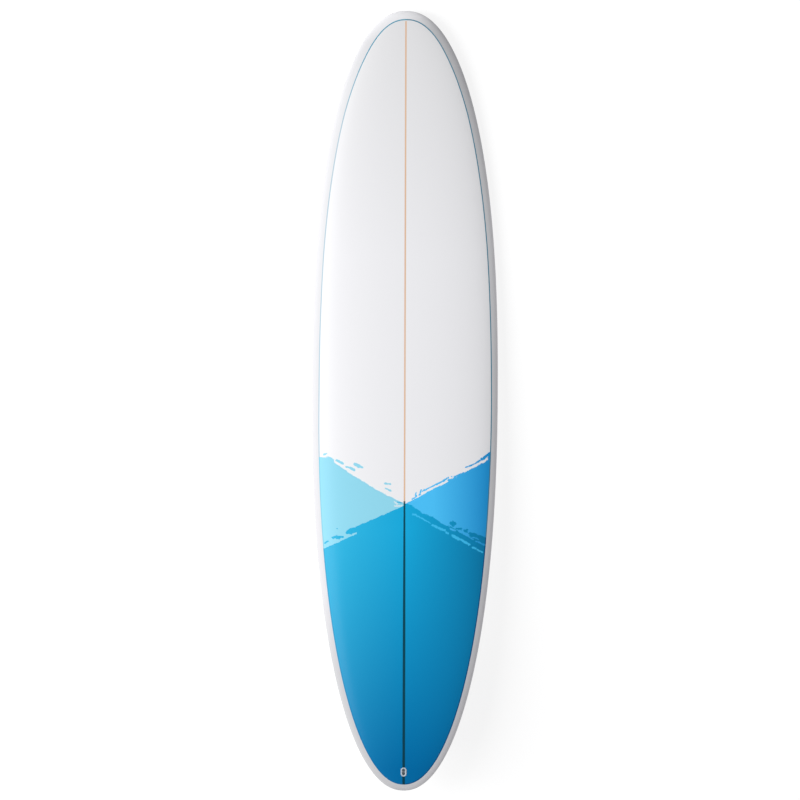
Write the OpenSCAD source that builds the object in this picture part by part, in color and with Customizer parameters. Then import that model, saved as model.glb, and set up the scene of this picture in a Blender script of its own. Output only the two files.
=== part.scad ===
// Longboard surfboard with a wood stringer, a leash plug, a long centre fin in a sliding track
// and a smaller fin on each side, each held in two plugs.
//
// Board frame: +Y to the nose, +X to the right rail, +Z to the deck, origin under the middle of
// the length. at_rest() then tips the board onto the two places that it rests on when it is set
// down deck up: the tip of the centre fin, and the bottom ahead of its middle.

/* [Board outline] */
// Length from nose to tail
board_l = 2438; // [2130:1:2930]
// Greatest width
board_w = 584; // [486:1:702]
// Greatest thickness
board_t = 76; // [63:1:92]
// Share of the length from the nose to the widest point
wide_share = 0.48; // [0.42:0.01:0.54]
// How long the outline stays wide towards the nose
nose_fullness = 2.38; // [2:0.01:3]
// How round the nose is in plan, lower is blunter
nose_roundness = 0.463; // [0.42:0.001:0.55]
// How long the outline stays wide towards the tail
tail_fullness = 2.26; // [2:0.01:3]
// How round the tail is in plan, lower is blunter
tail_roundness = 0.475; // [0.42:0.001:0.55]

/* [Rocker and foil] */
// Rise of the bottom at the nose
nose_rocker = 112; // [80:1:150]
// Rise of the bottom at the tail
tail_rocker = 62; // [40:1:90]
// How late the nose starts to rise
nose_lift = 2.6; // [2:0.1:3.2]
// How late the tail starts to rise
tail_lift = 2.2; // [2:0.1:3.2]
// Place of the lowest point of the bottom along the board
flat_y = -100; // [-250:1:150]
// How long the board stays thick towards its ends
foil_fullness = 2.1; // [1.8:0.05:3]
// How blunt the ends are in side view, lower is blunter
foil_roundness = 0.4; // [0.36:0.01:0.6]

/* [Rails] */
// Share of the thickness that lies below the rail's widest line
rail_share = 0.42; // [0.3:0.01:0.5]
// How flat the deck is across, before it rolls into the rail
deck_fullness = 2.5; // [2:0.1:4]
// How flat the bottom is across, before it rolls into the rail
bottom_fullness = 7; // [4:0.1:9]
// How round the rail is below its widest line
tuck_roundness = 2.2; // [1.8:0.1:3]

/* [Laminate and stringer] */
// Thickness of the glass and epoxy skin
skin_t = 1.2; // [0.8:0.1:2]
// Thickness of the wood stringer
stringer_t = 4.8; // [3:0.1:8]

/* [Leash plug] */
// Distance of the plug's middle from the tail
leash_from_tail = 60; // [50:1:120]
// Length of the plug's flange
leash_l = 29; // [28:0.5:40]
// Width of the plug's flange
leash_w = 18; // [18:0.5:26]
// Thickness of the plug's flange
leash_flange_t = 1.6; // [1:0.1:2.5]
// How far the flange overhangs the body
leash_lip = 2; // [1:0.1:2.5]
// Depth to which the flange is let into the deck
leash_sunk = 0.6; // [0.3:0.1:0.8]
// Depth of the plug's body below the deck
leash_depth = 17; // [15:0.5:20]
// Thickness of the plug's wall and floor
leash_wall = 2.5; // [1.8:0.1:3]
// Diameter of the steel bar that the leash is tied to
leash_bar_d = 4; // [3:0.1:5]
// Depth of the bar's axis below the deck
leash_bar_depth = 5; // [4:0.1:7]

/* [Centre fin track] */
// Length of the track
track_l = 267; // [200:1:300]
// Width of the track
track_w = 25.4; // [24:0.1:30]
// Depth of the track
track_depth = 25; // [23:0.5:30]
// Distance of the track's rear end from the tail
track_from_tail = 115; // [100:1:160]
// Width of the slot that the fin's tab slides in
slot_w = 9.8; // [9.6:0.1:10.4]
// Depth of the slot
slot_depth = 20; // [19:0.5:22]
// Thickness of the track's wall past each end of the slot
slot_end = 8; // [6:0.5:12]
// Width of the cross groove for the pin and the plate
groove_w = 15.8; // [15:0.1:18]
// Height of the cross groove
groove_h = 4.8; // [4.4:0.1:5.4]
// Depth of the groove's near side below the track's face
groove_depth = 10.5; // [9:0.5:12]
// Thickness of the track's flange
track_flange_t = 3; // [2.6:0.1:4]
// Thickness of the track's walls beside the groove
track_wall = 2.6; // [1.6:0.1:4]
// How far the track's face stands out of the bottom at its middle
track_proud = 0.3; // [0.1:0.1:1]
// Length of the notch that the pin and the plate go in by
notch_l = 15.5; // [15:0.5:20]
// Margin of the dense foam block around the track
track_block_margin = 16; // [10:1:30]
// Thickness of the dense foam over the track
track_block_roof = 3; // [2:0.5:6]

/* [Centre fin] */
// Depth of the fin below the board
fin_depth = 178; // [148:1:214]
// Length of the fin's base
fin_base = 152; // [130:1:165]
// How far the tip lies behind the middle of the base
fin_sweep = 112; // [90:1:135]
// Thickness of the fin at its tip
fin_tip_t = 3; // [2:0.1:5]
// Play between the fin's tab and the slot, each side
fin_play = 0.2; // [0.1:0.05:0.4]
// Length of the fin's tab
fin_tab_l = 140; // [125:1:144]
// Depth of the fin's tab in the slot
fin_tab_depth = 18.5; // [17:0.5:18.5]
// How far the screw ledge reaches ahead of the tab
ledge_l = 22; // [18:0.5:24]
// Depth of the ledge's near side below the track's face
ledge_depth = 5.2; // [4:0.1:6]

/* [Centre fin hardware] */
// Diameter of the fin screw's thread
screw_d = 4; // [3:0.1:5]
// Diameter of the fin screw's head
screw_head_d = 7.8; // [7:0.1:9]
// Height of the fin screw's head
screw_head_h = 2.4; // [2:0.1:3]
// Length of the fin screw under its head
screw_l = 13.5; // [12:0.5:16]
// Diameter of the brass pin through the fin's tab
pin_d = 4.6; // [4:0.1:4.7]
// Length of the threaded plate along the track
plate_l = 14; // [12:0.5:18]
// Thickness of the threaded plate
plate_t = 3.2; // [2.5:0.1:4]

/* [Side fins] */
// Distance of the side fins' middle from the tail
side_from_tail = 345; // [320:1:450]
// Distance of the side fins from the rail
side_from_rail = 50; // [42:1:75]
// Angle by which the side fins point towards the nose
toe_in = 2.5; // [0:0.1:4]
// Depth of a side fin
side_depth = 95; // [79:1:114]
// Length of a side fin's base
side_base = 102; // [98:1:122]
// How far a side fin's tip lies behind the middle of its base
side_sweep = 72; // [50:1:90]
// Thickness of a side fin at its tip
side_tip_t = 2.4; // [2:0.1:4]
// Distance between the middles of a side fin's two tabs
tab_spacing = 76; // [70:0.5:80]
// Length of a tab
tab_l = 15; // [12:0.5:18]
// Thickness of a tab
tab_t = 6.4; // [5.5:0.1:7]
// Depth of a tab in its plug
tab_depth = 13.5; // [11:0.5:15]
// Play between a tab and its plug, each side
tab_play = 0.2; // [0.1:0.05:0.4]
// Gap between a side fin's base and the faces of its plugs
side_gap = 0.4; // [0.3:0.1:1]

/* [Side fin plugs] */
// Diameter of a plug
plug_d = 28; // [26:0.5:32]
// Depth of a plug
plug_depth = 16; // [15:0.5:20]
// How far a plug's face stands out of the bottom
plug_proud = 0.6; // [0.3:0.1:1]
// Diameter of a grub screw
grub_d = 5; // [4:0.1:6]
// Length of a grub screw
grub_l = 6.5; // [5:0.5:7]
// Angle of a grub screw to the plug's axis
grub_tilt = 28; // [20:1:35]
// Distance of a grub screw's mouth from the plug's middle
grub_offset = 9.2; // [8.8:0.1:10]
// Width across the flats of a grub screw's socket
grub_hex = 2.4; // [2:0.1:3]
// Margin of the dense foam block around a pair of plugs
plug_block_margin = 9; // [6:1:16]
// Thickness of the dense foam over the plugs
plug_block_roof = 6; // [3:0.5:10]

/* [Hidden] */
$fn = 64;
stations = 48; // steps along the board, from nose to tail
tip_steps = 3; // steps at each end that are solid laminate
columns = 9; // steps from the stringer's side to the rail
fin_rings = 14; // steps down a fin's blade
foil_steps = 9; // steps across a fin's chord
running = 0.05; // play around a turning screw
through = 8; // how far a cutter reaches out past a surface
glue = 0.1; // glue line around what is set in a pocket
grub_gap = 0.4; // gap between a grub screw and the tab that it holds
foil_edge = 0.12; // share of a fin's thickness that its edges keep

half_l = board_l / 2;
half_stringer = stringer_t / 2;
wide_y = half_l - wide_share * board_l;
across = 2 * (columns + 1); // points across one skin, from rail to rail

// ---- The hull's shape ----

// Share of the way from the widest point to the end that y lies towards
function reach(y) = y > wide_y ? (y - wide_y) / (half_l - wide_y) : (wide_y - y) / (half_l + wide_y);

// Half the width at y
function half_width(y) = board_w / 2 * pow(
    max(0, 1 - pow(reach(y), y > wide_y ? nose_fullness : tail_fullness)),
    y > wide_y ? nose_roundness : tail_roundness);

// Height of the bottom's centre line
function rocker(y) = y > flat_y
    ? nose_rocker * pow((y - flat_y) / (half_l - flat_y), nose_lift)
    : tail_rocker * pow((flat_y - y) / (half_l + flat_y), tail_lift);

// Thickness on the centre line
function thickness(y) = board_t * pow(max(0, 1 - pow(abs(y) / half_l, foil_fullness)), foil_roundness);

// Height of the rail's widest line
function apex(y) = rocker(y) + rail_share * thickness(y);

// Share of its full height that the deck or the bottom keeps at v of the half width
function deck_share(v) = pow(max(0, 1 - pow(v, deck_fullness)), 1 / deck_fullness);
function bottom_share(v) = pow(max(0, 1 - pow(v, bottom_fullness)), 1 / tuck_roundness);

// The hull set in by the skin or not, up (side 1) or down (side -1) from the rail's widest line
function outline_slope(y) = (half_width(y + 1) - half_width(y - 1)) / 2;
function section_w(y, inset) = half_width(y) - (inset == 0 ? 0 : inset * norm([1, outline_slope(y)]));
function section_h(y, side, inset) = thickness(y) * (side > 0 ? 1 - rail_share : rail_share) - inset;
function surface_z(x, y, side, inset = 0) =
    let (v = min(1, abs(x) / section_w(y, inset)))
    apex(y) + side * section_h(y, side, inset) * (side > 0 ? deck_share(v) : bottom_share(v));

// Slopes of a surface, in degrees, along the board and across it
function slope_y(x, y, side) = atan((surface_z(x, y + 5, side) - surface_z(x, y - 5, side)) / 10);
function slope_x(x, y, side) = atan((surface_z(x + 5, y, side) - surface_z(x - 5, y, side)) / 10);

// Stations crowd towards the ends, and columns towards the rails
function station(i) = half_l * cos(180 * i / stations);
function column_x(j, w) = half_stringer + (w - half_stringer) * pow(sin(90 * j / columns), 0.8);
function across_x(k, w) = k <= columns ? -column_x(columns - k, w) : column_x(k - columns - 1, w);
function skin_point(i, k, side, inset) =
    let (y = station(i), x = across_x(k, section_w(y, inset)))
    [x, y, surface_z(x, y, side, inset)];

// ---- Solids from rings of points ----

function turned(faces) = [for (f = faces) [for (n = [len(f) - 1:-1:0]) f[n]]];

// Two triangles over a cell a, b, c, d, split from a to c or from b to d
function cell(a, b, c, d, from_a) = from_a ? [[a, b, c], [a, c, d]] : [[a, b, d], [b, c, d]];

// A solid through rings of equally many points. leans(k) says which way the cell after point k is split.
function loft_faces(rings, size, leans) = concat(
    [for (i = [0:rings - 2], k = [0:size - 1])
        let (n = (k + 1) % size)
        each cell(i * size + k, i * size + n, (i + 1) * size + n, (i + 1) * size + k, leans[k])],
    [for (k = [1:size - 2]) [0, k + 1, k]],
    [for (k = [1:size - 2]) let (o = (rings - 1) * size) [o, o + k, o + k + 1]]);

// ---- Foam, wood and skins ----

// One side of the foam, from the stringer's side to the rail, over the deck and back under the bottom
module half_core(sign) {
    rings = [for (i = [tip_steps:stations - tip_steps])
        let (y = station(i), w = section_w(y, skin_t))
        concat(
            [for (j = [0:columns]) let (x = column_x(j, w)) [sign * x, y, surface_z(x, y, 1, skin_t)]],
            [for (j = [columns:-1:0]) let (x = column_x(j, w))
                if (j < columns) [sign * x, y, surface_z(x, y, -1, skin_t)]])];
    size = 2 * columns + 1;
    leans = [for (k = [0:size - 1]) k < columns || k == size - 1];
    faces = loft_faces(len(rings), size, leans);
    polyhedron(points = [for (r = rings) each r], faces = sign > 0 ? faces : turned(faces));
}

// Everything inside the skins
module inner_hull() {
    size = 2 * across - 2;
    rings = [for (i = [tip_steps:stations - tip_steps])
        concat(
            [for (k = [0:across - 1]) skin_point(i, k, 1, skin_t)],
            [for (k = [across - 2:-1:1]) skin_point(i, k, -1, skin_t)])];
    leans = [for (k = [0:size - 1]) k < across - 1 ? k > columns : k >= 2 * across - 3 - columns];
    polyhedron(points = [for (r = rings) each r], faces = loft_faces(len(rings), size, leans));
}

// Half of the hull's laminate, up or down from the rail's widest line, solid at nose and tail
module skin(side) {
    last = stations - tip_steps;
    points = concat(
        [[0, half_l, apex(half_l)], [0, -half_l, apex(-half_l)]],
        [for (i = [1:stations - 1], k = [0:across - 1]) skin_point(i, k, side, 0)],
        [for (i = [tip_steps:last], k = [0:across - 1]) skin_point(i, k, side, skin_t)]);
    right = across - 1;
    function outer(i, k) = 2 + (i - 1) * across + k;
    function inner(i, k) = 2 + (stations - 1) * across + (i - tip_steps) * across + k;
    faces = concat(
        // the outer surface, with a fan at each end
        [for (k = [0:right - 1]) [0, outer(1, k), outer(1, k + 1)]],
        [for (i = [1:stations - 2], k = [0:right - 1])
            each cell(outer(i, k), outer(i + 1, k), outer(i + 1, k + 1), outer(i, k + 1), k > columns)],
        [for (k = [0:right - 1]) [1, outer(stations - 1, k + 1), outer(stations - 1, k)]],
        // the inner surface, with a wall at each end
        [for (i = [tip_steps:last - 1], k = [0:right - 1])
            each cell(inner(i, k), inner(i, k + 1), inner(i + 1, k + 1), inner(i + 1, k), k > columns)],
        [for (k = [1:right - 1]) [inner(tip_steps, 0), inner(tip_steps, k + 1), inner(tip_steps, k)]],
        [for (k = [1:right - 1]) [inner(last, 0), inner(last, k), inner(last, k + 1)]],
        // the seam along both rails
        [for (i = [tip_steps:last - 1]) each [
            [outer(i, 0), inner(i, 0), inner(i + 1, 0), outer(i + 1, 0)],
            [inner(i, right), outer(i, right), outer(i + 1, right), inner(i + 1, right)]]],
        // the seam across the solid ends
        [[0, outer(1, right), outer(1, 0)], [1, outer(stations - 1, 0), outer(stations - 1, right)]],
        [for (i = [1:tip_steps - 2])
            [outer(i, 0), outer(i, right), outer(i + 1, right), outer(i + 1, 0)]],
        [for (i = [last + 1:stations - 2])
            [outer(i, 0), outer(i, right), outer(i + 1, right), outer(i + 1, 0)]],
        [[outer(tip_steps - 1, right), outer(tip_steps, right), inner(tip_steps, right),
            inner(tip_steps, 0), outer(tip_steps, 0), outer(tip_steps - 1, 0)],
        [outer(last + 1, 0), outer(last, 0), inner(last, 0),
            inner(last, right), outer(last, right), outer(last + 1, right)]]);
    polyhedron(points = points, faces = side > 0 ? turned(faces) : faces);
}

// ---- Places on the hull ----

leash_y = -half_l + leash_from_tail;
track_y = -half_l + track_from_tail + track_l / 2;
side_y = -half_l + side_from_tail;
side_x = half_width(side_y) - side_from_rail;
track_slope = slope_y(0, track_y, -1);

module at_leash() {
    translate([0, leash_y, surface_z(0, leash_y, 1)]) rotate([slope_y(0, leash_y, 1), 0, 0]) children();
}

// Z is zero on the track's face and grows into the board
module at_track() {
    translate([0, track_y, surface_z(0, track_y, -1)]) rotate([track_slope, 0, 0])
        translate([0, 0, -track_proud]) children();
}

// Z is zero on the bottom between a side fin's plugs and grows into the board
module at_side(sign) {
    translate([sign * side_x, side_y, surface_z(side_x, side_y, -1)])
        rotate([slope_y(side_x, side_y, -1), -sign * slope_x(side_x, side_y, -1), 0])
        rotate([0, 0, sign * toe_in]) children();
}

// ---- How the board rests ----

function tipped(p, angle) =
    [p.x, p.y * cos(angle) - p.z * sin(angle), p.y * sin(angle) + p.z * cos(angle)];

// A fin's chord and the middle of its chord at a share of its depth
function chord(share, base) = base * (1 - 0.55 * share) * sqrt(1 - pow(share, 4));
function chord_mid(share, sweep) = -sweep * pow(share, 1.6);
tip_share = 0.985; // share of its depth at which a fin's rounded tip is cut flat

tip_corners = [for (end = [0.5, -0.5])
    [0, track_y, surface_z(0, track_y, -1)] + tipped([0,
        chord_mid(tip_share, fin_sweep) + end * chord(tip_share, fin_base),
        -track_proud - fin_depth * tip_share], track_slope)];
bottom_line = [for (i = [0:stations]) [0, station(i), surface_z(half_stringer, station(i), -1)]];
deck_line = [for (i = [0:stations]) [0, station(i), surface_z(half_stringer, station(i), 1)]];
rest_pitch = max([for (c = tip_corners)
    min([for (p = bottom_line) if (p.y > 0) atan2(p.z - c.z, p.y - c.y)])]);
lowest = min([for (c = tip_corners) tipped(c, -rest_pitch).z]);
end_reach = [for (p = concat(bottom_line, deck_line)) tipped(p, -rest_pitch).y];
middle = (max(end_reach) + min(end_reach)) / 2;

module at_rest() {
    translate([0, -middle, -lowest]) rotate([-rest_pitch, 0, 0]) children();
}

// ---- Shapes that cut and fill ----

// A plate with round ends, along Y, from z = from to z = to
module round_ended(l, w, from, to) {
    translate([0, 0, from]) linear_extrude(to - from) {
        square([w, l - w], center = true);
        for (end = [1, -1]) translate([0, end * (l - w) / 2]) circle(d = w);
    }
}

module block(w, l, from, to) {
    translate([-w / 2, -l / 2, from]) cube([w, l, to - from]);
}

// Pockets, a glue line wider than what is set in them
module leash_space() {
    round_ended(leash_l - 2 * (leash_lip - glue), leash_w - 2 * (leash_lip - glue), -leash_depth, through);
    round_ended(leash_l + 2 * glue, leash_w + 2 * glue, -leash_sunk, through);
}

track_body_w = groove_w + 2 * track_wall;
slot_l = track_l - 2 * slot_end;

module track_space() {
    round_ended(track_l + 2 * glue, track_w + 2 * glue, -through, track_flange_t);
    round_ended(track_l - track_w + track_body_w + 2 * glue, track_body_w + 2 * glue, -through, track_depth);
}

module track_block_space(line = glue) {
    margin = 2 * (track_block_margin + line);
    round_ended(track_l + margin, track_w + margin, -through, track_depth + track_block_roof);
}

module plug_space() {
    for (end = [1, -1]) translate([0, end * tab_spacing / 2, -through])
        cylinder(h = through - plug_proud + plug_depth, d = plug_d + 2 * glue);
}

module plug_block_space(line = glue) {
    margin = 2 * (plug_block_margin + line);
    round_ended(tab_spacing + plug_d + margin, plug_d + margin,
        -through, plug_depth - plug_proud + plug_block_roof);
}

// Along a grub screw's axis, from its mouth on the plug's face, on the side towards the stringer
module at_grub(sign, end) {
    translate([-sign * grub_offset, end * tab_spacing / 2, -plug_proud])
        rotate([0, sign * grub_tilt, 0]) children();
}
grub_end = (grub_offset - tab_t / 2 - grub_gap - grub_d / 2 * cos(grub_tilt)) / sin(grub_tilt);

// ---- Fin blades ----

function foil(u) = foil_edge + (1 - foil_edge) * 1.5 * sqrt(3) * sqrt(u) * (1 - u);

// A blade from z = root down, with near_share of its thickness on its -X side
module blade(base, depth, sweep, root_t, tip_t, near_share, root) {
    function at_step(i) = i == 0 ? 0 : tip_share * sin(90 * (i - 1) / (fin_rings - 1));
    function part_t(i, j) = (root_t + (tip_t - root_t) * at_step(i)) * foil(pow(j / foil_steps, 1.8));
    function edge_y(i, j) = chord_mid(at_step(i), sweep)
        + chord(at_step(i), base) * (0.5 - pow(j / foil_steps, 1.8));
    rings = [for (i = [0:fin_rings]) let (z = i == 0 ? root : -depth * at_step(i)) concat(
        [for (j = [0:foil_steps]) [-near_share * part_t(i, j), edge_y(i, j), z]],
        [for (j = [foil_steps:-1:0]) [(1 - near_share) * part_t(i, j), edge_y(i, j), z]])];
    size = 2 * (foil_steps + 1);
    polyhedron(points = [for (r = rings) each r],
        faces = loft_faces(len(rings), size, [for (k = [0:size - 1]) true]));
}

// ---- The board ----

module core(sign) {
    difference() {
        half_core(sign);
        at_leash() leash_space();
        at_track() track_block_space();
        at_side(sign) plug_block_space();
    }
}

module core_left() {
    color("honeydew") at_rest() core(-1);
}

module core_right() {
    color("honeydew") at_rest() core(1);
}

module stringer() {
    first = tip_steps;
    last = stations - tip_steps;
    profile = concat(
        [for (i = [first:last]) [station(i), surface_z(half_stringer, station(i), 1, skin_t)]],
        [for (i = [last:-1:first]) [station(i), surface_z(half_stringer, station(i), -1, skin_t)]]);
    color("burlywood") at_rest() difference() {
        translate([-half_stringer, 0, 0]) rotate([90, 0, 90]) linear_extrude(stringer_t) polygon(profile);
        at_leash() leash_space();
        at_track() track_block_space();
    }
}

module deck_skin() {
    color("whitesmoke") at_rest() difference() {
        skin(1);
        at_leash() leash_space();
    }
}

module bottom_skin() {
    color("white") at_rest() difference() {
        skin(-1);
        at_track() track_space();
        for (sign = [-1, 1]) at_side(sign) plug_space();
    }
}

// ---- The leash plug ----

leash_hole_w = leash_w - 2 * leash_lip - 2 * leash_wall;
leash_bar_l = leash_hole_w + 1.4 * leash_wall;

module leash_bar_shape(d) {
    translate([-leash_bar_l / 2, 0, -leash_bar_depth]) rotate([0, 90, 0]) cylinder(h = leash_bar_l, d = d);
}

module leash_cup() {
    color("gainsboro") at_rest() at_leash() difference() {
        union() {
            round_ended(leash_l - 2 * leash_lip, leash_w - 2 * leash_lip, -leash_depth, 0);
            round_ended(leash_l, leash_w, -leash_sunk, leash_flange_t - leash_sunk);
        }
        round_ended(leash_l - 2 * leash_lip - 2 * leash_wall, leash_hole_w,
            leash_wall - leash_depth, through);
        leash_bar_shape(leash_bar_d);
    }
}

module leash_bar() {
    color("silver") at_rest() at_leash() leash_bar_shape(leash_bar_d);
}

// ---- The centre fin and its track ----

groove_mid = groove_depth + groove_h / 2;
pin_y = -fin_tab_l / 2 + 8;
screw_y = fin_tab_l / 2 + ledge_l - 7;
tab_w = slot_w - 2 * fin_play;
ledge_end = groove_depth - 0.3;

module fin_track() {
    color("dimgray") at_rest() at_track() difference() {
        union() {
            round_ended(track_l, track_w, 0, track_flange_t);
            round_ended(track_l - track_w + track_body_w, track_body_w, 0, track_depth);
        }
        round_ended(slot_l, slot_w, -through, slot_depth);
        round_ended(slot_l - 10, groove_w, groove_depth, groove_depth + groove_h);
        block(groove_w, notch_l, -through, groove_mid);
    }
}

module track_block() {
    color("moccasin") at_rest() difference() {
        intersection() {
            inner_hull();
            at_track() track_block_space(0);
        }
        at_track() track_space();
    }
}

module centre_fin() {
    color("steelblue") at_rest() at_track() difference() {
        union() {
            blade(fin_base, fin_depth, fin_sweep, tab_w - 0.4, fin_tip_t, 0.5, 1);
            block(tab_w, fin_tab_l, 0, fin_tab_depth);
            translate([0, fin_tab_l / 2 + ledge_l / 2, 0]) block(tab_w, ledge_l + 2, ledge_depth, ledge_end);
        }
        translate([-slot_w, pin_y, groove_mid]) rotate([0, 90, 0]) cylinder(h = 2 * slot_w, d = pin_d);
        translate([0, screw_y, 0]) cylinder(h = fin_tab_depth, d = screw_d + 2 * running);
    }
}

module fin_cross_pin() {
    color("goldenrod") at_rest() at_track() translate([-groove_w / 2 + 0.4, pin_y, groove_mid])
        rotate([0, 90, 0]) cylinder(h = groove_w - 0.8, d = pin_d);
}

plate_from = groove_depth + 0.1;

module fin_plate() {
    color("silver") at_rest() at_track() translate([0, screw_y, 0]) difference() {
        block(groove_w - 0.8, plate_l, plate_from, plate_from + plate_t);
        cylinder(h = fin_tab_depth, d = screw_d + 2 * running);
    }
}

module fin_screw() {
    seat = ledge_depth - running;
    color("lightgray") at_rest() at_track() translate([0, screw_y, 0]) difference() {
        union() {
            translate([0, 0, seat - screw_head_h]) cylinder(h = screw_head_h, d = screw_head_d);
            translate([0, 0, seat - 1]) cylinder(h = screw_l + 1, d = screw_d);
        }
        for (turn = [0, 90]) rotate([0, 0, turn]) block(0.9, screw_head_d * 0.6, 0, seat - screw_head_h / 2);
    }
}

// ---- The side fins and their plugs ----

module plug(sign, end) {
    color("dimgray") at_rest() at_side(sign) difference() {
        translate([0, end * tab_spacing / 2, -plug_proud]) cylinder(h = plug_depth, d = plug_d);
        translate([0, end * tab_spacing / 2, 0])
            block(tab_t + 2 * tab_play, tab_l + 2 * tab_play, -through, tab_depth + 2 * tab_play);
        at_grub(sign, end) translate([0, 0, -1]) cylinder(h = grub_end + 3, d = grub_d + 2 * running);
    }
}

module plug_block(sign) {
    color("moccasin") at_rest() difference() {
        intersection() {
            inner_hull();
            at_side(sign) plug_block_space(0);
        }
        at_side(sign) plug_space();
    }
}

module side_fin(sign) {
    color("steelblue") at_rest() at_side(sign) translate([0, 0, -plug_proud - side_gap]) {
        blade(side_base, side_depth, side_sweep, tab_t, side_tip_t, sign > 0 ? 0.3 : 0.7, 0);
        for (end = [1, -1]) translate([0, end * tab_spacing / 2, 0])
            block(tab_t, tab_l, -0.5, tab_depth + plug_proud + side_gap);
    }
}

module grub(sign, end) {
    color("silver") at_rest() at_side(sign) at_grub(sign, end) difference() {
        rotate_extrude() polygon([
            [0, grub_end - grub_l], [grub_d / 2, grub_end - grub_l],
            [grub_d / 2, grub_end - 1], [grub_d / 2 - 1, grub_end], [0, grub_end]]);
        translate([0, 0, grub_end - grub_l - 1]) cylinder(h = 3.2, d = grub_hex / cos(30), $fn = 6);
    }
}

module plug_left_front() {
    plug(-1, 1);
}

module plug_left_rear() {
    plug(-1, -1);
}

module plug_right_front() {
    plug(1, 1);
}

module plug_right_rear() {
    plug(1, -1);
}

module plug_block_left() {
    plug_block(-1);
}

module plug_block_right() {
    plug_block(1);
}

module side_fin_left() {
    side_fin(-1);
}

module side_fin_right() {
    side_fin(1);
}

module grub_left_front() {
    grub(-1, 1);
}

module grub_left_rear() {
    grub(-1, -1);
}

module grub_right_front() {
    grub(1, 1);
}

module grub_right_rear() {
    grub(1, -1);
}

core_left();
core_right();
stringer();
deck_skin();
bottom_skin();
leash_cup();
leash_bar();
fin_track();
track_block();
plug_left_front();
plug_left_rear();
plug_right_front();
plug_right_rear();
plug_block_left();
plug_block_right();
centre_fin();
fin_cross_pin();
fin_plate();
fin_screw();
side_fin_left();
side_fin_right();
grub_left_front();
grub_left_rear();
grub_right_front();
grub_right_rear();
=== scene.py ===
"""A longboard surfboard: glassed hull, painted deck, leash plug, centre fin in its track, and side fins."""
import math

import bmesh
import bpy
import numpy as np
from mathutils import Matrix, Vector


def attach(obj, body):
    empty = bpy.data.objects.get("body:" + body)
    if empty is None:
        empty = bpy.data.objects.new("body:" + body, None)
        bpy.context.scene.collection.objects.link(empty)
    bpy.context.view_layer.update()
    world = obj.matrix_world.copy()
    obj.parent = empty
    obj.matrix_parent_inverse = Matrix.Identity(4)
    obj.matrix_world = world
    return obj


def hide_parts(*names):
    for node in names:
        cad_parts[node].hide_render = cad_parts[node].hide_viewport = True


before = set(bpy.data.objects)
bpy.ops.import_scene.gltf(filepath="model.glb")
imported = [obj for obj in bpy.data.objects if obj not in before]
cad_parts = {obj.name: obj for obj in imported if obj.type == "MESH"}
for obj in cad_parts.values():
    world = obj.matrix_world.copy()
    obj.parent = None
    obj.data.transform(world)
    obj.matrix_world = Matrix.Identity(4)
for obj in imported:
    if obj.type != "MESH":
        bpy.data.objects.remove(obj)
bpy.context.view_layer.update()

bl_info = {
    "name": "Longboard surfboard",
    "version": (1, 0, 0),
    "blender": (4, 5, 0),
    "location": "View3D > Sidebar > Surfboard",
    "description": "Builds the laminate, paint, plug and fins of a longboard around its packed frame",
    "category": "Add Mesh",
}

MM = 0.001
STATIONS = 48  # steps of the core along the board, from nose to tail
STRINGER_HALF = 2.4  # half the stringer's thickness, in millimetres
GLUE = 0.1 * MM  # gap round a fitting that is glued into its pocket
TIP_SHARE = 0.985  # share of a fin's depth at which its tip ends
TAPER = 0.55  # share of its base that a fin's chord loses down to its full depth
SWEEP_POWER = 1.6  # how late a fin's middle starts to sweep back
TIP_POWER = 4.0  # how late a fin's outline starts to round off towards its tip


# ---- Colours and sizes that a user would change ----

def linear(code):
    """An sRGB hex value as linear red, green and blue."""
    parts = [int(code[i:i + 2], 16) / 255 for i in (1, 3, 5)]
    return tuple(c / 12.92 if c <= 0.04045 else ((c + 0.055) / 1.055) ** 2.4 for c in parts)


def size(name, words, value):
    return bpy.props.FloatProperty(name=name, description=words, default=value, precision=4, unit="LENGTH")


def share(name, words, value):
    return bpy.props.FloatProperty(name=name, description=words, default=value, precision=3)


def colour(name, words, code):
    return bpy.props.FloatVectorProperty(
        name=name, description=words, default=linear(code), subtype="COLOR", size=3, min=0, max=1)


class HullSizes(bpy.types.PropertyGroup):
    length: size("Length", "From nose to tail", 2.438)
    width: size("Width", "At the widest point", 0.584)
    thickness: size("Thickness", "At the thickest point", 0.076)
    wide_share: share("Widest point", "Share of the length from the nose to the widest point", 0.48)
    nose_fullness: share("Nose fullness", "How long the outline stays wide towards the nose", 2.38)
    nose_roundness: share("Nose roundness", "How blunt the nose is in plan", 0.463)
    tail_fullness: share("Tail fullness", "How long the outline stays wide towards the tail", 2.26)
    tail_roundness: share("Tail roundness", "How blunt the tail is in plan", 0.475)
    nose_rocker: size("Nose rocker", "Rise of the bottom at the nose", 0.112)
    tail_rocker: size("Tail rocker", "Rise of the bottom at the tail", 0.062)
    nose_lift: share("Nose lift", "How late the nose starts to rise", 2.6)
    tail_lift: share("Tail lift", "How late the tail starts to rise", 2.2)
    flat_y: size("Lowest point", "Place of the lowest point of the bottom along the board", -0.1)
    foil_fullness: share("Foil fullness", "How long the board stays thick towards its ends", 2.1)
    foil_roundness: share("Foil roundness", "How blunt the ends are in side view", 0.4)
    rail_share: share("Rail height", "Share of the thickness below the rail's widest line", 0.42)
    deck_fullness: share("Deck fullness", "How flat the deck is across", 2.5)
    bottom_fullness: share("Bottom fullness", "How flat the bottom is across", 7.0)
    tuck_roundness: share("Tuck roundness", "How round the rail is below its widest line", 2.2)
    skin: size("Laminate", "Thickness of the glass and epoxy", 0.0012)


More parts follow.
